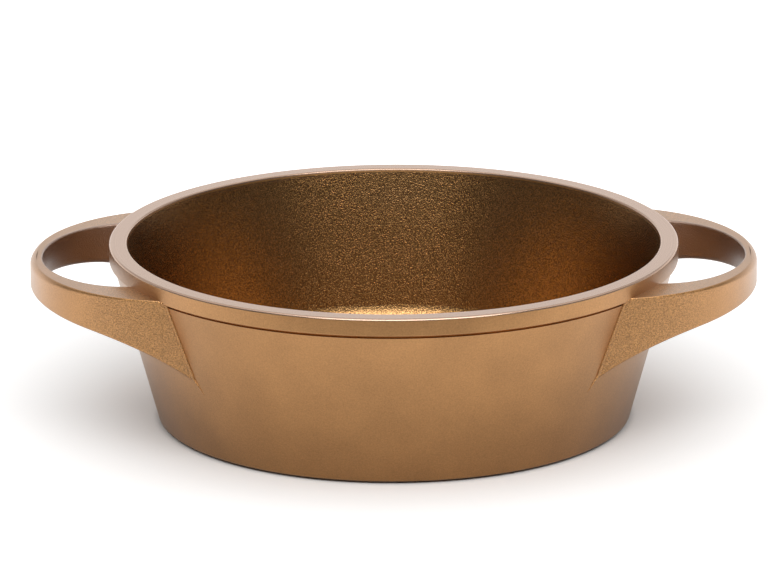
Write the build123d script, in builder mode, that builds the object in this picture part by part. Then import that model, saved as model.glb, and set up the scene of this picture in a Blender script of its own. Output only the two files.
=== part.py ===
from build123d import *
import os
from math import cos, hypot, radians, sin, tan

# A shallow casserole pan in cast aluminium, with a loop handle on each side.
# The origin is on the vertical axis at the surface that the pan stands on.
# +Z is up and +X runs out through the right handle. All sizes are in millimetres.

# Pan body
mouth_diameter = 239.5
rim_width = 7.9
pan_height = 81.5
collar_height = 7.9
collar_overhang = 1.65
rim_edge_radius = 1.0
mouth_edge_radius = 0.7
collar_lower_edge_radius = 0.5
neck_groove_height = 1.5
neck_groove_depth = 1.2
base_diameter = 212.6
base_edge_radius = 1.2

# Cooking space
floor_thickness = 5.5
floor_joint_rise = 0.1
wall_foot_thickness = 5.0
cavity_corner_radius = 17.0
coating_thickness = 0.3
coating_drop = 1.5

# Disc under the base
disc_diameter = 196.0
disc_thickness = 2.0
disc_proud = 1.0
disc_edge_gap = 0.15
disc_edge_radius = 0.4
groove_count = 5
groove_first_radius = 14.0
groove_pitch = 17.0
groove_width = 1.4
groove_depth = 0.35

# Loop handles
handle_reach = 35.4
handle_width = 151.0
handle_bow_length = 68.0
handle_top_drop = 6.6
handle_tip_height = 13.1
handle_tip_thickness = 5.6
opening_width = 102.6
opening_bow_length = 39.5
underside_slope = 8.1
underside_straight = 26.8
underside_radius = 100.0
underside_turn = 37.0
handle_anchor_depth = 30.0
handle_outer_edge_radius = 0.8
handle_opening_edge_radius = 1.6
handle_lower_edge_radius = 1.2
opening_lower_edge_radius = 2.5

# Places worked out from the sizes
mouth_radius = mouth_diameter / 2
rim_radius = mouth_radius + rim_width
collar_z = pan_height - collar_height
wall_top_radius = rim_radius - collar_overhang
base_radius = base_diameter / 2
base_z = disc_proud
floor_z = base_z + floor_thickness
floor_joint_z = floor_z + floor_joint_rise
coating_top_z = pan_height - coating_drop
wall_flare = (wall_top_radius - base_radius) / (collar_z - base_z)
neck_lip_z = collar_z - neck_groove_height
neck_lip_radius = wall_top_radius - wall_flare * neck_groove_height
cavity_foot_radius = base_radius + wall_flare * floor_thickness - wall_foot_thickness
cavity_flare = (mouth_radius - cavity_foot_radius) / (pan_height - floor_z)
disc_radius = disc_diameter / 2
disc_top_z = disc_thickness
handle_top_z = pan_height - handle_top_drop
tip_x = rim_radius + handle_reach
bow_x = tip_x - handle_bow_length
opening_bow_x = tip_x - handle_tip_thickness - opening_bow_length
anchor_x = bow_x - handle_anchor_depth
edge_tolerance = 0.01


def cavity_radius(height):
    """Radius of the cooking space at a height, on the straight wall."""
    return cavity_foot_radius + cavity_flare * (height - floor_z)


def runs_along_handle(edge):
    """True for an edge along a side of the handle, not on its ends or across it."""
    box = edge.bounding_box()
    return box.max.X > anchor_x + edge_tolerance and box.size.X > edge_tolerance


def is_top_edge(edge):
    """True for an edge of the handle's flat top face."""
    return edge.bounding_box().min.Z > handle_top_z - edge_tolerance


def is_lower_edge(edge):
    """True for an edge where a side of the handle meets the underside."""
    return edge.bounding_box().max.Z < handle_top_z - handle_tip_height + edge_tolerance


def is_opening_edge(edge):
    """True for an edge on the wall of the loop's opening."""
    box = edge.bounding_box()
    return max(abs(box.min.Y), abs(box.max.Y)) < opening_width / 2 + edge_tolerance


# Outer form of the pan with no cooking space, which the handles are cut back to
with BuildPart() as pan_form:
    with BuildSketch(Plane.XZ) as pan_form_profile:
        with BuildLine():
            Polyline((0, base_z), (base_radius, base_z), (neck_lip_radius, neck_lip_z))
            neck = EllipticalCenterArc(
                (neck_lip_radius, collar_z), neck_groove_depth, neck_groove_height, 180, arc_size=90
            )
            Polyline(
                neck @ 0,
                (rim_radius, collar_z),
                (rim_radius, pan_height),
                (0, pan_height),
                (0, base_z),
            )
        make_face()
        outline = pan_form_profile.vertices()
        fillet(outline.group_by(Axis.Y)[0].sort_by(Axis.X)[-1], base_edge_radius)
        fillet(outline.group_by(Axis.Y)[2].sort_by(Axis.X)[-1], collar_lower_edge_radius)
        fillet(outline.group_by(Axis.Y)[-1].sort_by(Axis.X)[-1], rim_edge_radius)
    revolve(axis=Axis.Z)

# Cooking space, as a solid to cut from the casting
with BuildPart() as cooking_space:
    with BuildSketch(Plane.XZ) as cooking_space_profile:
        with BuildLine():
            Polyline(
                (0, floor_z),
                (cavity_foot_radius, floor_z),
                (mouth_radius, pan_height),
                (0, pan_height),
                close=True,
            )
        make_face()
        foot_corner = cooking_space_profile.vertices().group_by(Axis.Y)[0].sort_by(Axis.X)[-1]
        fillet(foot_corner, cavity_corner_radius)
    revolve(axis=Axis.Z)

# Coated interior: a thin skin over the floor and the wall, ending just under the rim
with BuildPart() as interior_coating:
    with BuildSketch(Plane.XZ) as coating_profile:
        with BuildLine():
            Polyline(
                (0, floor_z - coating_thickness),
                (cavity_foot_radius, floor_z - coating_thickness),
                (cavity_radius(coating_top_z) + coating_thickness, coating_top_z),
                (0, coating_top_z),
                close=True,
            )
        make_face()
        outer_corner = coating_profile.vertices().group_by(Axis.Y)[0].sort_by(Axis.X)[-1]
        fillet(outer_corner, cavity_corner_radius + coating_thickness)
    revolve(axis=Axis.Z)
    add(cooking_space.part, mode=Mode.SUBTRACT)
interior_coating.part.label = "interior_coating"

# Recess in the casting's underside that the disc is pressed into
with BuildPart() as disc_recess:
    with BuildSketch(Plane.XY.offset(base_z)):
        Circle(disc_radius + disc_edge_gap)
    extrude(amount=disc_top_z - base_z)

# Whole casting, with its floor, wall and collar
with BuildPart() as casting:
    add(pan_form.part)
    add(cooking_space.part, mode=Mode.SUBTRACT)
    mouth_edge = casting.edges().filter_by(GeomType.CIRCLE).group_by(Axis.Z)[-1].sort_by(SortBy.RADIUS)[0]
    fillet(mouth_edge, mouth_edge_radius)
    add(interior_coating.part, mode=Mode.SUBTRACT)
    add(disc_recess.part, mode=Mode.SUBTRACT)

# Floor of the casting, up to just above the flat cooking surface
with BuildPart() as pan_floor:
    add(casting.part)
    split(bisect_by=Plane.XY.offset(floor_joint_z), keep=Keep.BOTTOM)
pan_floor.part.label = "pan_floor"

# Wall of the casting, with the inside corner round and the collar
with BuildPart() as pan_wall:
    add(casting.part)
    split(bisect_by=Plane.XY.offset(floor_joint_z), keep=Keep.TOP)
pan_wall.part.label = "pan_wall"

# Steel disc under the base, with shallow turned rings on its face
with BuildPart() as base_disc:
    with BuildSketch(Plane.XY):
        Circle(disc_radius)
    extrude(amount=disc_top_z)
    lower_edge = base_disc.edges().filter_by(GeomType.CIRCLE).group_by(Axis.Z)[0]
    fillet(lower_edge, disc_edge_radius)
    for ring in range(groove_count):
        ring_radius = groove_first_radius + ring * groove_pitch
        with BuildSketch(Plane.XY):
            Circle(ring_radius + groove_width / 2)
            Circle(ring_radius - groove_width / 2, mode=Mode.SUBTRACT)
        extrude(amount=groove_depth, mode=Mode.SUBTRACT)
base_disc.part.label = "base_disc"

# Right loop handle: its plan cut to the side outline, then to the pan
with BuildPart() as handle_right:
    with BuildSketch(Plane.XY):
        with BuildLine():
            bow = EllipticalCenterArc((bow_x, 0), handle_bow_length, handle_width / 2, -90, arc_size=180)
            Polyline(bow @ 1, (anchor_x, handle_width / 2), (anchor_x, -handle_width / 2), bow @ 0)
        make_face()
    extrude(amount=handle_top_z)
    with BuildSketch(Plane.XZ):
        with BuildLine():
            tip_bottom = (tip_x, handle_top_z - handle_tip_height)
            run_drop = underside_straight * tan(radians(underside_slope))
            knee = (tip_x - underside_straight, handle_top_z - handle_tip_height - run_drop)
            heading = (-cos(radians(underside_slope)), -sin(radians(underside_slope)))
            Polyline((anchor_x, handle_top_z), (tip_x, handle_top_z), tip_bottom, knee)
            belly = JernArc(knee, heading, underside_radius, underside_turn)
            last_run = (belly % 1) * hypot(handle_anchor_depth, handle_bow_length)
            end = belly @ 1 + last_run
            Polyline(belly @ 1, end, (anchor_x - handle_bow_length, handle_top_z), (anchor_x, handle_top_z))
        make_face()
    extrude(amount=handle_width, both=True, mode=Mode.INTERSECT)
    with BuildSketch(Plane.XY):
        with BuildLine():
            throat = EllipticalCenterArc(
                (opening_bow_x, 0), opening_bow_length, opening_width / 2, -90, arc_size=180
            )
            inner_end = anchor_x - handle_anchor_depth
            Polyline(throat @ 1, (inner_end, opening_width / 2), (inner_end, -opening_width / 2), throat @ 0)
        make_face()
    extrude(amount=pan_height, mode=Mode.SUBTRACT)
    top_edges = handle_right.edges().filter_by(runs_along_handle).filter_by(is_top_edge)
    fillet(top_edges.filter_by(lambda edge: not is_opening_edge(edge)), handle_outer_edge_radius)
    top_edges = handle_right.edges().filter_by(runs_along_handle).filter_by(is_top_edge)
    fillet(top_edges.filter_by(is_opening_edge), handle_opening_edge_radius)
    lower_edges = handle_right.edges().filter_by(runs_along_handle).filter_by(is_lower_edge)
    fillet(lower_edges.filter_by(lambda edge: not is_opening_edge(edge)), handle_lower_edge_radius)
    lower_edges = handle_right.edges().filter_by(runs_along_handle).filter_by(is_lower_edge)
    fillet(lower_edges.filter_by(is_opening_edge), opening_lower_edge_radius)
    add(pan_form.part, mode=Mode.SUBTRACT)
handle_right.part.label = "handle_right"

# Left loop handle, the mirror image of the right one
with BuildPart() as handle_left:
    mirror(handle_right.part, about=Plane.YZ)
handle_left.part.label = "handle_left"

os.makedirs("parts", exist_ok=True)
for piece in (pan_floor, pan_wall, interior_coating, base_disc, handle_left, handle_right):
    export_step(piece.part, "parts/" + piece.part.label + ".step")
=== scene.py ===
import math

import bmesh
import bpy
from mathutils import Matrix, Vector


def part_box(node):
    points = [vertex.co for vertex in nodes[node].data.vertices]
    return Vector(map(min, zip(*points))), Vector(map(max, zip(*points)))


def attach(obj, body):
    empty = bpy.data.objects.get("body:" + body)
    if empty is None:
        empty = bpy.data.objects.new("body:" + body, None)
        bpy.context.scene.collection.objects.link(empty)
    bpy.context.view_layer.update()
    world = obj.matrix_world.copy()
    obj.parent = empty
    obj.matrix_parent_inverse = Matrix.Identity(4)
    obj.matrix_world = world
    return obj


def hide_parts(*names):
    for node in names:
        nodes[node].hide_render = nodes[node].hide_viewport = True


# Looks for a shallow casserole pan in cast, bronze-coated aluminium.
# Sizes are in metres, in the model's own frame: +Z is up and +X runs out through the right handle.

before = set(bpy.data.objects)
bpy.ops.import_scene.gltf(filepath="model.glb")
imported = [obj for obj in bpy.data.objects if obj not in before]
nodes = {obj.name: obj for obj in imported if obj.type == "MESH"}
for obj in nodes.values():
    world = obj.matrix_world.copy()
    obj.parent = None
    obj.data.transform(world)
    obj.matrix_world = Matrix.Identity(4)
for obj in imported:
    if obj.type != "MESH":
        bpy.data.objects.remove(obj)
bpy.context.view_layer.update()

MM = 0.001

# Camera, fitted to the photograph's view
IMAGE_WIDTH = 768
SENSOR_WIDTH = 36.0
FOCAL_PIXELS = 7013.5
CAMERA_DISTANCE = 3.1695
CAMERA_ELEVATION = 0.3009
CAMERA_REACH = 50.0
AIM_HEIGHT = 0.035
AIM_YAW_PIXELS = -9.577
AIM_PITCH_PIXELS = 47.885
CAMERA_ROLL = -0.0042
PAN_TURN = math.radians(0.51)
PAN_SHIFT = Vector((-0.12, 0.25, 0)) * MM

# Outside of the body, from the model's named parts
RIM_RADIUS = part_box("pan_wall")[1][0]
RIM_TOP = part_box("pan_wall")[1][2]
RIM_WIDTH = 7.9 * MM
MOUTH_RADIUS = RIM_RADIUS - RIM_WIDTH
COLLAR_HEIGHT = 7.9 * MM
COLLAR_OVERHANG = 1.65 * MM
COLLAR_LOW = RIM_TOP - COLLAR_HEIGHT
RIM_EDGE = 1.0 * MM
MOUTH_EDGE = 0.7 * MM
COLLAR_EDGE = 0.5 * MM
GROOVE_HEIGHT = 1.5 * MM
GROOVE_DEPTH = 1.2 * MM
BASE_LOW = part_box("pan_floor")[0][2]
BASE_RADIUS = 106.3 * MM
BASE_EDGE = 1.2 * MM
DISC_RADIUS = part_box("base_disc")[1][0]
DISC_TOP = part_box("base_disc")[1][2]
DISC_GAP = 0.15 * MM
WALL_TOP_RADIUS = RIM_RADIUS - COLLAR_OVERHANG
WALL_FLARE = (WALL_TOP_RADIUS - BASE_RADIUS) / (COLLAR_LOW - BASE_LOW)
LIP_RADIUS = WALL_TOP_RADIUS - WALL_FLARE * GROOVE_HEIGHT

# Cooking space and its coat
COOKING_LEVEL = 6.5 * MM
WALL_FOOT = 5.0 * MM
CORNER = 17.0 * MM
COAT = 0.3 * MM
COAT_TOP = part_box("interior_coating")[1][2]
CAVITY_FOOT = BASE_RADIUS + WALL_FLARE * (COOKING_LEVEL - BASE_LOW) - WALL_FOOT
CAVITY_FLARE = (MOUTH_RADIUS - CAVITY_FOOT) / (RIM_TOP - COOKING_LEVEL)

# Loop handles
TIP_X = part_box("handle_right")[1][0]
HANDLE_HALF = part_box("handle_right")[1][1]
HANDLE_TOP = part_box("handle_right")[1][2]
BOW_REACH = 68.0 * MM
BOW_X = TIP_X - BOW_REACH
TIP_THICKNESS = 5.6 * MM
OPENING_REACH = 39.5 * MM
OPENING_HALF = 51.3 * MM
OPENING_X = TIP_X - TIP_THICKNESS - OPENING_REACH
TIP_HEIGHT = 13.1 * MM
TIP_LOW = HANDLE_TOP - TIP_HEIGHT
UNDERSIDE_SLOPE = math.radians(8.1)
UNDERSIDE_STRAIGHT = 26.8 * MM
UNDERSIDE_RADIUS = 100.0 * MM
KNEE_X = TIP_X - UNDERSIDE_STRAIGHT
KNEE_LOW = TIP_LOW - UNDERSIDE_STRAIGHT * math.tan(UNDERSIDE_SLOPE)
TIP_EDGE = 3.0 * MM
ROOT_EDGE = 0.8 * MM
EDGE_FADE_START = 0.15
EDGE_FADE_END = 0.8
OPENING_EDGE = 1.1 * MM
LOWER_EDGE = 1.2 * MM
OPENING_LOWER_EDGE = 2.5 * MM
ROOT_RUN = 30.0 * MM
ROOT_SINK = 2.0 * MM

# Bead down each handle's root, and the tail that it runs out in
BEAD_RADIUS = 0.9 * MM
BEAD_PROUD = 0.25 * MM
BEAD_TOP = HANDLE_TOP - BEAD_RADIUS
BEAD_LOW = 32.5 * MM
TAIL_HEIGHT = 7.0 * MM
TAIL_LEAN = 2.5 * MM
TAIL_STEPS = 12
TAIL_POINT = 0.5

# Fineness of the meshes
TURNS = 480
ARC_STEPS = 10
GUARD = 0.12 * MM
CORNER_POINTS = ARC_STEPS + 3
SIDE_STEPS = 6
LOOP_STEPS = 56
ROOT_STEPS = 26
ROOT_SHARE = 0.045
SEARCH_START = 0.5
SEARCH_END = 1.6
SEARCH_STEPS = 22
BEAD_STEPS = 56
BEAD_SIDES = 16
SHARP_ANGLE = math.radians(35)

# Noises of the finishes: scale, detail and roughness
CLOUDS = (45.0, 3.0, 0.5)
FLAKE = (1500.0, 2.0, 0.7)
CAST_GRAIN = (1100.0, 3.0, 0.6)
PEBBLES = (1700.0, 1.0, 0.5)
RIM_LINES = (3200.0, 2.0, 0.6)
DISC_CLOUDS = (35.0, 3.0, 0.5)
DISC_LINES = (1800.0, 3.0, 0.7)

# Bronze paint on the casting and the handles
BRONZE_DARK = (0.385, 0.188, 0.061)
BRONZE_LIGHT = (0.56, 0.28, 0.097)
BRONZE_SPREAD = 0.18
BRONZE_ROUGHNESS = 0.38
CLOUD_SHARE = 0.35
LACQUER = 0.8
LACQUER_ROUGHNESS = 0.3
CAST_RELIEF = 0.04 * MM

# Worn, turned metal on the flat of the rim
RIM_DARK = (0.46, 0.31, 0.22)
RIM_LIGHT = (0.66, 0.46, 0.35)
RIM_SPREAD = 0.2
RIM_ROUGHNESS = 0.24
RIM_RELIEF_SHARE = 0.3
WORN_START = RIM_TOP - RIM_EDGE
WORN_END = RIM_TOP - 0.6 * MM

# Grain of the handles, full beside the body, with speckles darker in the pits as painted shade mixed with the
# grain's own tone, and the painted shade inside their loops, a darker, greyer bronze
# The dark speckle colour also stands as painted shade in the grain's pits.
SPECKLE_AND_PIT_SHADE = (0.34, 0.165, 0.053)
SPECKLE_LIGHT = (0.63, 0.32, 0.112)
SPECKLE_SPREAD = 0.16
GRAIN_START = TIP_X - 8.0 * MM
GRAIN_FULL = RIM_RADIUS - 6.0 * MM
GRAIN_RELIEF = 0.3 * MM
TIP_RELIEF_SHARE = 0.1
# Painted shade on the walls of the loops' openings: a darker, greyer bronze.
LOOP_SHADE_BRONZE = (0.37, 0.25, 0.19, 1)
LOOP_SHADE_START = 1.03
LOOP_SHADE_FULL = 1.005

# Pebbled coat. Its colours are darker than the outer paint, as painted shade of the pan's inside, and the
# raised pebbles are lighter than the hollows, painted highlight and shade mixed with the coat's own tone
COAT_TONE_AND_HOLLOW_SHADE = (0.22, 0.12, 0.05)
COAT_TONE_AND_PEBBLE_HIGHLIGHT = (0.50, 0.28, 0.115)
COAT_SPREAD = 0.14
COAT_ROUGHNESS = 0.24
PEBBLE_RELIEF = 0.12 * MM

# Turned steel of the disc
STEEL_DARK = (0.46, 0.45, 0.43)
STEEL_LIGHT = (0.66, 0.65, 0.62)
STEEL_SPREAD = 0.2
STEEL_SMOOTH = 0.28
STEEL_ROUGH = 0.42
LINE_SHARE = 0.7
LINE_RELIEF = 0.03 * MM

# Floor: its paint, its glow, and the painted shade that darkens it in reflections close to the pan and in
# front
FLOOR_HALF = 6.0
FLOOR_GREY = 0.8
FLOOR_GLOW = 0.6
GLOW_REACH = 0.42
CLOSE_REACH = 0.2
CLOSE_REFLECTION_SHADE = 0.35
CLOSE_GLOW = 0.09
CLOSE_GLOW_EDGE = 0.225
CONTACT_WIDTH = 3.0 * MM
FRONT_START = 0.2
FRONT_END = 0.42
FRONT_REFLECTION_SHADE = 0.75

# Studio round the pan, as places on a unit sphere, and how bright it is
BEHIND_START = 0.1
BEHIND_FULL = 0.8
BAND_TOP = 0.5
BAND_FULL = 0.25
DOME_LOW = 0.15
DOME_FULL = 0.75
DOME_FRONT = -0.5
DOME_BACK = 0.0
DOME_SHARE = 0.75
STUDIO_WHITE = 1.15
STUDIO_DIM = 0.12

# Lamps
LAMP_DISTANCE = 1.3
KEY_SIDE = 0.1
KEY_ELEVATION = math.radians(42)
KEY_WIDTH = 1.6
KEY_DEPTH = 0.5
KEY_WHITE = 4.2
UPPER_SIDE = 0.0
UPPER_ELEVATION = math.radians(66)
UPPER_WIDTH = 1.8
UPPER_DEPTH = 0.6
UPPER_WHITE = 1.3


def make_camera():
    """Adds the camera where the photograph was taken from."""
    level = Vector((0, -math.cos(CAMERA_ELEVATION), math.sin(CAMERA_ELEVATION)))
    place = level * CAMERA_DISTANCE
    ahead = (Vector((0, 0, AIM_HEIGHT)) - place).normalized()
    right = ahead.cross(Vector((0, 0, 1))).normalized()
    up = right.cross(ahead)
    aside = right * (AIM_YAW_PIXELS / FOCAL_PIXELS) + up * (AIM_PITCH_PIXELS / FOCAL_PIXELS)
    ahead = (ahead + aside).normalized()
    right = ahead.cross(Vector((0, 0, 1))).normalized()
    up = right.cross(ahead)
    side = right * math.cos(CAMERA_ROLL) + up * math.sin(CAMERA_ROLL)
    top = up * math.cos(CAMERA_ROLL) - right * math.sin(CAMERA_ROLL)
    axes = Matrix((side, top, -ahead)).transposed()
    turn = Matrix.Rotation(-PAN_TURN, 3, "Z")
    data = bpy.data.cameras.new("camera")
    data.sensor_width = SENSOR_WIDTH
    data.lens = SENSOR_WIDTH * FOCAL_PIXELS / IMAGE_WIDTH
    data.clip_end = CAMERA_REACH
    camera = bpy.data.objects.new("camera", data)
    camera.matrix_world = Matrix.Translation(turn @ place + PAN_SHIFT) @ (turn @ axes).to_4x4()
    bpy.context.scene.collection.objects.link(camera)
    bpy.context.scene.camera = camera


def round_corners(corners):
    """Turns (radius, height, rounding) corners into a smooth profile of (radius, height) points."""
    profile = []
    for index, (r, z, rounding) in enumerate(corners):
        here = Vector((r, z))
        if rounding == 0 or index in (0, len(corners) - 1):
            profile.append(here)
            continue
        before = (Vector(corners[index - 1][:2]) - here).normalized()
        after = (Vector(corners[index + 1][:2]) - here).normalized()
        half = before.angle(after) / 2
        run = rounding / math.tan(half)
        centre = here + (before + after).normalized() * (rounding / math.sin(half))
        start = here + before * run - centre
        end = here + after * run - centre
        sweep = start.angle_signed(end)
        profile.append(here + before * (run + GUARD))
        for step in range(ARC_STEPS + 1):
            angle = -sweep * step / ARC_STEPS
            spin = Matrix(((math.cos(angle), -math.sin(angle)), (math.sin(angle), math.cos(angle))))
            profile.append(centre + spin @ start)
        profile.append(here + after * (run + GUARD))
    return profile


def link_piece(name, form, material):
    """Makes a smooth object of a bmesh, which rides on the pan and takes its finish from a slot."""
    mesh = bpy.data.meshes.new(name)
    bmesh.ops.recalc_face_normals(form, faces=form.faces)
    for face in form.faces:
        face.smooth = True
    for edge in form.edges:
        edge.smooth = edge.calc_face_angle(0) < SHARP_ANGLE
    form.to_mesh(mesh)
    form.free()
    mesh.materials.append(material)
    piece = bpy.data.objects.new(name, mesh)
    bpy.context.scene.collection.objects.link(piece)
    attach(piece, "root")
    return piece


def turned_ring(form, r, z):
    """Adds the points of a level ring round the pan's axis, or its one point where it lies on the axis."""
    if r == 0:
        return [form.verts.new((0, 0, z))] * TURNS
    turns = [math.tau * step / TURNS for step in range(TURNS)]
    return [form.verts.new((r * math.cos(turn), r * math.sin(turn), z)) for turn in turns]


def revolve(profile):
    """Spins a profile that starts and ends on the axis, or closes on itself, into a closed form."""
    form = bmesh.new()
    rings = [turned_ring(form, r, z) for r, z in profile]
    pairs = list(zip(rings, rings[1:]))
    if profile[0][0] > 0:
        pairs.append((rings[-1], rings[0]))
    for low, high in pairs:
        for step in range(TURNS):
            after = (step + 1) % TURNS
            corners = []
            for vertex in (low[step], low[after], high[after], high[step]):
                if vertex not in corners:
                    corners.append(vertex)
            form.faces.new(corners)
    return form


def skin_tube(form, rings):
    """Joins rings of points into a tube and closes its two ends."""
    for low, high in zip(rings, rings[1:]):
        for step in range(len(low)):
            after = (step + 1) % len(low)
            form.faces.new((low[step], low[after], high[after], high[step]))
    form.faces.new(rings[0])
    form.faces.new(reversed(rings[-1]))


def cavity_radius(height):
    """Radius of the cooking space at a height, on the straight wall."""
    return CAVITY_FOOT + CAVITY_FLARE * (height - COOKING_LEVEL)


def body_radius(height):
    """Outer radius of the body at a height, on the wall or on the collar above it."""
    if height > COLLAR_LOW:
        return RIM_RADIUS
    return BASE_RADIUS + WALL_FLARE * (height - BASE_LOW)


def neck_groove():
    """Corners along the quarter-round groove under the collar, from its lip up."""
    corners = []
    for step in range(ARC_STEPS + 1):
        turn = math.pi / 2 * step / ARC_STEPS
        r = LIP_RADIUS - GROOVE_DEPTH * math.sin(turn)
        corners.append((r, COLLAR_LOW - GROOVE_HEIGHT * math.cos(turn), 0))
    return corners


def make_casting(material):
    """The cast floor, wall and collar as one smooth turned form, with its neck groove and its disc recess."""
    corners = [
        (0, DISC_TOP, 0),
        (DISC_RADIUS + DISC_GAP, DISC_TOP, 0),
        (DISC_RADIUS + DISC_GAP, BASE_LOW, 0),
        (BASE_RADIUS, BASE_LOW, BASE_EDGE),
        *neck_groove(),
        (RIM_RADIUS, COLLAR_LOW, COLLAR_EDGE),
        (RIM_RADIUS, RIM_TOP, RIM_EDGE),
        (MOUTH_RADIUS, RIM_TOP, MOUTH_EDGE),
        (cavity_radius(COAT_TOP), COAT_TOP, 0),
        (cavity_radius(COAT_TOP) + COAT, COAT_TOP, 0),
        (CAVITY_FOOT, COOKING_LEVEL - COAT, CORNER + COAT),
        (0, COOKING_LEVEL - COAT, 0),
    ]
    piece = link_piece("casting", revolve(round_corners(corners)), material)
    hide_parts("pan_wall", "pan_floor")


def make_coat(material):
    """The coat on the floor and the wall of the cooking space."""
    corners = [
        (0, COOKING_LEVEL - COAT, 0),
        (CAVITY_FOOT, COOKING_LEVEL - COAT, CORNER + COAT),
        (cavity_radius(COAT_TOP) + COAT, COAT_TOP, 0),
        (cavity_radius(COAT_TOP), COAT_TOP, 0),
        (CAVITY_FOOT, COOKING_LEVEL, CORNER),
        (0, COOKING_LEVEL, 0),
    ]
    piece = link_piece("coat", revolve(round_corners(corners)), material)
    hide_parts("interior_coating")


def underside(x):
    """Height of a handle's underside at a distance from the pan's axis."""
    if x > KNEE_X:
        return TIP_LOW - (TIP_X - x) * math.tan(UNDERSIDE_SLOPE)
    centre_x = KNEE_X + UNDERSIDE_RADIUS * math.sin(UNDERSIDE_SLOPE)
    centre_z = KNEE_LOW - UNDERSIDE_RADIUS * math.cos(UNDERSIDE_SLOPE)
    return centre_z + math.sqrt(UNDERSIDE_RADIUS ** 2 - (centre_x - x) ** 2)


def loop_point(along, centre, reach, half):
    """Plan point of a loop: 0 is its tip, 1 the end of its bow, and past 1 it runs straight to the body."""
    if along <= 1:
        turn = along * math.pi / 2
        return Vector((centre + reach * math.cos(turn), half * math.sin(turn), 0))
    return Vector((centre - (along - 1) * ROOT_RUN, half, 0))


def outer_edge(along):
    """Rounding of a handle's outer top edge, which is soft at the tip and crisp at the root."""
    share = min(max((along - EDGE_FADE_START) / (EDGE_FADE_END - EDGE_FADE_START), 0), 1)
    return TIP_EDGE + (ROOT_EDGE - TIP_EDGE) * share * share * (3 - 2 * share)


def divide_sides(points):
    """Divides the straight sides between the rounded corners of a closed section."""
    divided = []
    for index, point in enumerate(points):
        divided.append(point)
        if index % CORNER_POINTS == 0:
            after = points[(index + 1) % len(points)]
            divided += [point.lerp(after, step / SIDE_STEPS) for step in range(1, SIDE_STEPS)]
    return divided


def handle_section(along):
    """Points round the handle's section at a place along the loop."""
    outer = loop_point(along, BOW_X, BOW_REACH, HANDLE_HALF)
    inner = loop_point(along, OPENING_X, OPENING_REACH, OPENING_HALF)
    width = (inner - outer).length
    across = (inner - outer) / width
    middle = (width / 2, HANDLE_TOP, 0)
    corners = [
        middle,
        (width, HANDLE_TOP, OPENING_EDGE),
        (width, underside(inner.x), OPENING_LOWER_EDGE),
        (0, underside(outer.x), LOWER_EDGE),
        (0, HANDLE_TOP, outer_edge(along)),
        middle,
    ]
    flat = divide_sides(round_corners(corners)[:-1])
    return [outer + across * inward + Vector((0, 0, z)) for inward, z in flat]


def root_end(index):
    """How far along the loop a point of the section runs before it is sunk into the body."""
    near = SEARCH_START
    far = SEARCH_END
    for _ in range(SEARCH_STEPS):
        middle = (near + far) / 2
        point = handle_section(middle)[index]
        if math.hypot(point.x, point.y) > body_radius(point.z) - ROOT_SINK:
            near = middle
        else:
            far = middle
    return far


def half_loop():
    """Rows of section points from the tip to one root, closer together where they near the body."""
    ends = [root_end(index) for index in range(len(handle_section(0)))]
    shares = [(1 - ROOT_SHARE) * step / LOOP_STEPS for step in range(LOOP_STEPS)]
    shares += [1 - ROOT_SHARE + ROOT_SHARE * step / ROOT_STEPS for step in range(ROOT_STEPS + 1)]
    return [[handle_section(share * end)[index] for index, end in enumerate(ends)] for share in shares]


def bead_path(side, end):
    """Points down the corner between a handle's face and the body, which lean to the front in the tail."""
    path = []
    for step in range(BEAD_STEPS + 1):
        height = BEAD_TOP + (BEAD_LOW - BEAD_TOP) * step / BEAD_STEPS
        lean = TAIL_LEAN * max(1 - (height - BEAD_LOW) / TAIL_HEIGHT, 0)
        face = HANDLE_HALF + BEAD_PROUD + lean
        path.append(Vector((side * math.sqrt(body_radius(height) ** 2 - face ** 2), end * face, height)))
    return path


def add_bead(form, side, end):
    """Adds the bead down a handle's root, which runs out in a pointed tail."""
    path = bead_path(side, end)
    rings = []
    for step, place in enumerate(path):
        run = (path[min(step + 1, BEAD_STEPS)] - path[max(step - 1, 0)]).normalized()
        across = run.cross(Vector((place.x, place.y, 0))).normalized()
        out = across.cross(run)
        size = BEAD_RADIUS * min((BEAD_STEPS - step + TAIL_POINT) / TAIL_STEPS, 1)
        ring = []
        for corner in range(BEAD_SIDES):
            turn = math.tau * corner / BEAD_SIDES
            ring.append(form.verts.new(place + (across * math.cos(turn) + out * math.sin(turn)) * size))
        rings.append(ring)
    skin_tube(form, rings)


def make_handle(name, node, side, material):
    """One loop handle, swept from root to root, with a bead where each root grows from the body."""
    half = half_loop()
    mirrored = [[Vector((point.x, -point.y, point.z)) for point in row] for row in reversed(half[1:])]
    form = bmesh.new()
    rings = []
    for row in mirrored + half:
        rings.append([form.verts.new((side * point.x, point.y, point.z)) for point in row])
    skin_tube(form, rings)
    for end in (-1, 1):
        add_bead(form, side, end)
    piece = link_piece(name, form, material)
    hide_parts(node)


def add_node(tree, kind, **inputs):
    """Adds a shader node and sets its inputs, by name or by _number, to values or to other sockets."""
    node = tree.nodes.new(kind)
    for name, value in inputs.items():
        key = int(name[1:]) if name[1:].isdigit() else name.replace("_", " ")
        if isinstance(value, bpy.types.NodeSocket):
            tree.links.new(value, node.inputs[key])
        else:
            node.inputs[key].default_value = value
    return node


def new_material(name):
    """Makes an empty node material and returns it with its tree."""
    material = bpy.data.materials.new(name)
    material.use_nodes = True
    material.node_tree.nodes.clear()
    return material, material.node_tree


def finish_material(tree, shader):
    """Joins a shader to the material's output."""
    add_node(tree, "ShaderNodeOutputMaterial", Surface=shader)


def math_node(tree, operation, first, second=0.0, third=0.0):
    """Adds a Math node and returns its output."""
    node = add_node(tree, "ShaderNodeMath", _0=first, _1=second, _2=third)
    node.operation = operation
    return node.outputs[0]


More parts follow.
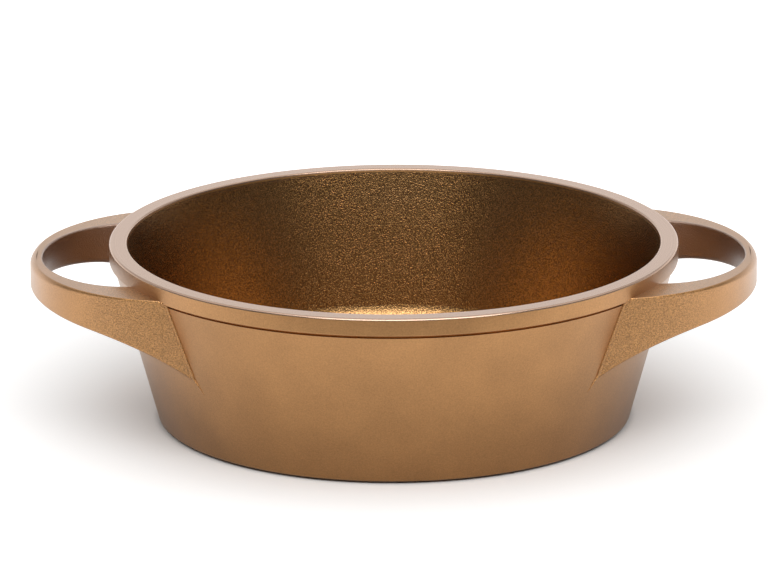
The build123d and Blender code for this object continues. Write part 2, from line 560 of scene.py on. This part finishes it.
def product(tree, first, *others):
    """Multiplies two or more values."""
    for other in others:
        first = math_node(tree, "MULTIPLY", first, other)
    return first


def weigh(tree, first, second, share):
    """Adds a share of a first value to the rest of a second."""
    return math_node(tree, "ADD", product(tree, first, share), product(tree, second, 1 - share))


def vector_length(tree, vector):
    """Length of a vector."""
    node = add_node(tree, "ShaderNodeVectorMath", _0=vector)
    node.operation = "LENGTH"
    return node.outputs["Value"]


def fade(tree, value, start, end):
    """Turns a value into 0 at its start and 1 at its end, smoothly."""
    node = add_node(tree, "ShaderNodeMapRange", Value=value, From_Min=start, From_Max=end)
    node.interpolation_type = "SMOOTHSTEP"
    return node.outputs[0]


def slope(tree, value, start, end, low, high):
    """Turns a value into one number at its start and another at its end, in a straight line."""
    node = add_node(
        tree, "ShaderNodeMapRange", Value=value, From_Min=start, From_Max=end, To_Min=low, To_Max=high,
    )
    return node.outputs[0]


def ramp(tree, factor, spread, dark, light):
    """Adds a colour ramp over a spread to each side of a half, and returns its colour."""
    node = add_node(tree, "ShaderNodeValToRGB", Fac=factor)
    low, high = node.color_ramp.elements
    low.position = 0.5 - spread
    low.color = (*dark, 1)
    high.position = 0.5 + spread
    high.color = (*light, 1)
    return node.outputs["Color"]


def mix_colour(tree, factor, first, second):
    """Mixes two colours."""
    node = tree.nodes.new("ShaderNodeMix")
    node.data_type = "RGBA"
    for socket, value in ((node.inputs[0], factor), (node.inputs[6], first), (node.inputs[7], second)):
        if isinstance(value, bpy.types.NodeSocket):
            tree.links.new(value, socket)
        else:
            socket.default_value = value
    return node.outputs[2]


def noise(tree, place, kind):
    """Adds a noise texture of a kind, given by its scale, detail and roughness."""
    scale, detail, roughness = kind
    node = add_node(
        tree, "ShaderNodeTexNoise", Vector=place, Scale=scale, Detail=detail, Roughness=roughness,
    )
    return node.outputs["Fac"]


def turned_noise(tree, parts, kind):
    """Adds a noise that is the same all round the pan's axis, as turning leaves it."""
    flat = add_node(tree, "ShaderNodeCombineXYZ", X=parts["X"], Y=parts["Y"])
    line = add_node(tree, "ShaderNodeCombineXYZ", X=vector_length(tree, flat.outputs[0]))
    return noise(tree, line.outputs[0], kind)


def bump(tree, height, distance):
    """Adds a bump of a height field and returns its normal."""
    return add_node(tree, "ShaderNodeBump", Distance=distance, Height=height).outputs["Normal"]


def object_place(tree):
    """Place on the object's surface."""
    return add_node(tree, "ShaderNodeTexCoord").outputs["Object"]


def split_place(tree, place):
    """X, Y and Z of a place, by name."""
    return add_node(tree, "ShaderNodeSeparateXYZ", Vector=place).outputs


def bronze_paint(tree, place):
    """Colour of the satin bronze paint, with soft clouds and fine metal flake."""
    blend = weigh(tree, noise(tree, place, CLOUDS), noise(tree, place, FLAKE), CLOUD_SHARE)
    return ramp(tree, blend, BRONZE_SPREAD, BRONZE_DARK, BRONZE_LIGHT)


def cast_bronze():
    """Satin bronze paint over the cast body, worn to turned metal on the flat of the rim."""
    material, tree = new_material("cast_bronze")
    place = object_place(tree)
    parts = split_place(tree, place)
    on_rim = fade(tree, parts["Z"], WORN_START, WORN_END)
    on_wall = math_node(tree, "SUBTRACT", 1.0, on_rim)
    lines = turned_noise(tree, parts, RIM_LINES)
    turned = ramp(tree, lines, RIM_SPREAD, RIM_DARK, RIM_LIGHT)
    grain = product(tree, noise(tree, place, CAST_GRAIN), on_wall)
    height = math_node(tree, "ADD", grain, product(tree, lines, on_rim, RIM_RELIEF_SHARE))
    rough = math_node(tree, "MULTIPLY_ADD", on_rim, RIM_ROUGHNESS - BRONZE_ROUGHNESS, BRONZE_ROUGHNESS)
    shader = add_node(
        tree,
        "ShaderNodeBsdfPrincipled",
        Base_Color=mix_colour(tree, on_rim, bronze_paint(tree, place), turned),
        Metallic=1.0,
        Roughness=rough,
        Coat_Weight=product(tree, on_wall, LACQUER),
        Coat_Roughness=LACQUER_ROUGHNESS,
        Normal=bump(tree, height, CAST_RELIEF),
    )
    finish_material(tree, shader.outputs[0])
    return material


def inside_loop(tree, parts):
    """1 on the walls of the handles' openings and 0 on the rest of the handles."""
    reach = math_node(tree, "ABSOLUTE", parts["X"])
    beyond = math_node(tree, "MAXIMUM", math_node(tree, "SUBTRACT", reach, OPENING_X), 0.0)
    along = math_node(tree, "DIVIDE", beyond, OPENING_REACH)
    across = math_node(tree, "DIVIDE", parts["Y"], OPENING_HALF)
    oval = add_node(tree, "ShaderNodeCombineXYZ", X=along, Y=across)
    return fade(tree, vector_length(tree, oval.outputs[0]), LOOP_SHADE_START, LOOP_SHADE_FULL)


def handle_bronze():
    """The same paint on the handles: grainy beside the body with painted shade in the pits of the grain,
    smooth at the tips, and a darker, greyer painted shade inside the loops.
    """
    material, tree = new_material("handle_bronze")
    place = object_place(tree)
    parts = split_place(tree, place)
    inside = inside_loop(tree, parts)
    near = fade(tree, math_node(tree, "ABSOLUTE", parts["X"]), GRAIN_START, GRAIN_FULL)
    grain = noise(tree, place, PEBBLES)
    rough_part = math_node(tree, "MAXIMUM", near, inside)
    depth = math_node(tree, "MULTIPLY_ADD", rough_part, 1 - TIP_RELIEF_SHARE, TIP_RELIEF_SHARE)
    # Speckles from the same noise as the relief: the grain's own tone, with painted shade where the pits lie.
    speckle_and_pit_shade = ramp(tree, grain, SPECKLE_SPREAD, SPECKLE_AND_PIT_SHADE, SPECKLE_LIGHT)
    paint = mix_colour(tree, near, bronze_paint(tree, place), speckle_and_pit_shade)
    shader = add_node(
        tree,
        "ShaderNodeBsdfPrincipled",
        # Inside the loops the colour turns to the painted shade of a darker, greyer bronze.
        Base_Color=mix_colour(tree, inside, paint, LOOP_SHADE_BRONZE),
        Metallic=1.0,
        Roughness=BRONZE_ROUGHNESS,
        Coat_Weight=LACQUER,
        Coat_Roughness=LACQUER_ROUGHNESS,
        Normal=bump(tree, product(tree, grain, depth), GRAIN_RELIEF),
    )
    finish_material(tree, shader.outputs[0])
    return material


def pebbled_coat():
    """Pebbled bronze coat on the inside of the pan, darkened as painted shade, with painted highlight on the
    pebbles and painted shade between them.
    """
    material, tree = new_material("pebbled_coat")
    pebbles = noise(tree, object_place(tree), PEBBLES)
    # Colour and relief come from one noise, so the raised pebbles are painted lighter and the hollows darker.
    shader = add_node(
        tree,
        "ShaderNodeBsdfPrincipled",
        Base_Color=ramp(tree, pebbles, COAT_SPREAD, COAT_TONE_AND_HOLLOW_SHADE, COAT_TONE_AND_PEBBLE_HIGHLIGHT),
        Metallic=1.0,
        Roughness=COAT_ROUGHNESS,
        Normal=bump(tree, pebbles, PEBBLE_RELIEF),
    )
    finish_material(tree, shader.outputs[0])
    return material


def disc_steel():
    """Turned steel of the disc under the base, with fine rings round its centre."""
    material, tree = new_material("disc_steel")
    place = object_place(tree)
    parts = split_place(tree, place)
    lines = turned_noise(tree, parts, DISC_LINES)
    cloud = noise(tree, place, DISC_CLOUDS)
    blend = weigh(tree, lines, cloud, LINE_SHARE)
    shader = add_node(
        tree,
        "ShaderNodeBsdfPrincipled",
        Base_Color=ramp(tree, blend, STEEL_SPREAD, STEEL_DARK, STEEL_LIGHT),
        Metallic=1.0,
        Roughness=ramp(tree, cloud, STEEL_SPREAD, (STEEL_SMOOTH,) * 3, (STEEL_ROUGH,) * 3),
        Normal=bump(tree, lines, LINE_RELIEF),
    )
    finish_material(tree, shader.outputs[0])
    return material


def set_material(node, material):
    """Gives a CAD node one material all over."""
    data = nodes[node].data
    for index in range(len(data.materials)):
        data.materials[index] = material
    if not data.materials:
        data.materials.append(material)


def floor_white():
    """Pale floor that keeps the shadow and glows to white further out; in reflections it carries painted
    shade close to the pan and in front.
    """
    material, tree = new_material("floor_white")
    seen = add_node(tree, "ShaderNodeLightPath")
    camera = seen.outputs["Is Camera Ray"]
    glossy = seen.outputs["Is Glossy Ray"]
    place = object_place(tree)
    parts = split_place(tree, place)
    reach = vector_length(tree, place)
    # Painted shade, seen only in reflections: the floor is darker to glossy rays in front of the pan and
    # close to it, in its paint and in its glow.
    front = product(tree, fade(tree, parts["Y"], -FRONT_START, -FRONT_END), glossy, FRONT_REFLECTION_SHADE)
    close = product(tree, fade(tree, reach, CLOSE_REACH, BASE_RADIUS), glossy, CLOSE_REFLECTION_SHADE)
    unshaded_share = product(tree, math_node(tree, "SUBTRACT", 1.0, front), math_node(tree, "SUBTRACT", 1.0, close))
    diffuse = add_node(tree, "ShaderNodeBsdfDiffuse", Color=product(tree, unshaded_share, FLOOR_GREY))
    far_glow = slope(tree, reach, BASE_RADIUS, GLOW_REACH, 0.0, FLOOR_GLOW)
    far_glow = product(tree, far_glow, math_node(tree, "MAXIMUM", camera, glossy), unshaded_share)
    outside = fade(tree, reach, BASE_RADIUS, BASE_RADIUS + CONTACT_WIDTH)
    close_glow = slope(tree, reach, BASE_RADIUS, CLOSE_REACH, CLOSE_GLOW, CLOSE_GLOW_EDGE)
    close_glow = product(tree, close_glow, camera, outside)
    strength = math_node(tree, "ADD", close_glow, far_glow)
    glow = add_node(tree, "ShaderNodeEmission", Color=(1, 1, 1, 1), Strength=strength)
    both = add_node(tree, "ShaderNodeAddShader", _0=diffuse.outputs[0], _1=glow.outputs[0])
    finish_material(tree, both.outputs[0])
    return material


def make_floor(material):
    """Adds the plain floor that the pan stands on."""
    mesh = bpy.data.meshes.new("floor")
    form = bmesh.new()
    bmesh.ops.create_grid(form, x_segments=1, y_segments=1, size=FLOOR_HALF)
    form.to_mesh(mesh)
    form.free()
    mesh.materials.append(material)
    floor = bpy.data.objects.new("floor", mesh)
    bpy.context.scene.collection.objects.link(floor)


def make_world():
    """White to the camera. The pan sees a studio, white behind and overhead and dim in front."""
    world = bpy.data.worlds.new("studio")
    bpy.context.scene.world = world
    world.use_nodes = True
    tree = world.node_tree
    tree.nodes.clear()
    seen = add_node(tree, "ShaderNodeLightPath")
    parts = split_place(tree, add_node(tree, "ShaderNodeTexCoord").outputs["Generated"])
    behind = fade(tree, parts["Y"], BEHIND_START, BEHIND_FULL)
    band = product(tree, behind, fade(tree, parts["Z"], BAND_TOP, BAND_FULL))
    dome = product(tree, fade(tree, parts["Z"], DOME_LOW, DOME_FULL), DOME_SHARE)
    dome = product(tree, dome, fade(tree, parts["Y"], DOME_FRONT, DOME_BACK))
    lit = math_node(tree, "MAXIMUM", band, dome)
    level = math_node(tree, "MULTIPLY_ADD", lit, STUDIO_WHITE - STUDIO_DIM, STUDIO_DIM)
    room = add_node(tree, "ShaderNodeBackground", Color=level, Strength=1.0)
    white = add_node(tree, "ShaderNodeBackground", Color=(1, 1, 1, 1), Strength=1.0)
    both = add_node(
        tree,
        "ShaderNodeMixShader",
        _0=seen.outputs["Is Camera Ray"],
        _1=room.outputs[0],
        _2=white.outputs[0],
    )
    add_node(tree, "ShaderNodeOutputWorld", Surface=both.outputs[0])


def add_softbox(name, side, elevation, width, depth, radiance):
    """Adds a rectangular soft lamp at an elevation from the front, facing the pan."""
    data = bpy.data.lights.new(name, "AREA")
    data.shape = "RECTANGLE"
    data.size = width
    data.size_y = depth
    data.energy = radiance * math.pi * width * depth
    lamp = bpy.data.objects.new(name, data)
    lamp.location = (side, -LAMP_DISTANCE * math.cos(elevation), LAMP_DISTANCE * math.sin(elevation))
    lamp.rotation_mode = "QUATERNION"
    lamp.rotation_quaternion = (Vector((0, 0, AIM_HEIGHT)) - lamp.location).to_track_quat("-Z", "Y")
    bpy.context.scene.collection.objects.link(lamp)


make_camera()
make_floor(floor_white())
make_world()
add_softbox("key", KEY_SIDE, KEY_ELEVATION, KEY_WIDTH, KEY_DEPTH, KEY_WHITE)
add_softbox("upper", UPPER_SIDE, UPPER_ELEVATION, UPPER_WIDTH, UPPER_DEPTH, UPPER_WHITE)

make_casting(cast_bronze())
make_coat(pebbled_coat())
handle_paint = handle_bronze()
make_handle("loop_left", "handle_left", -1, handle_paint)
make_handle("loop_right", "handle_right", 1, handle_paint)
set_material("base_disc", disc_steel())

bpy.context.scene.view_settings.view_transform = "Standard"
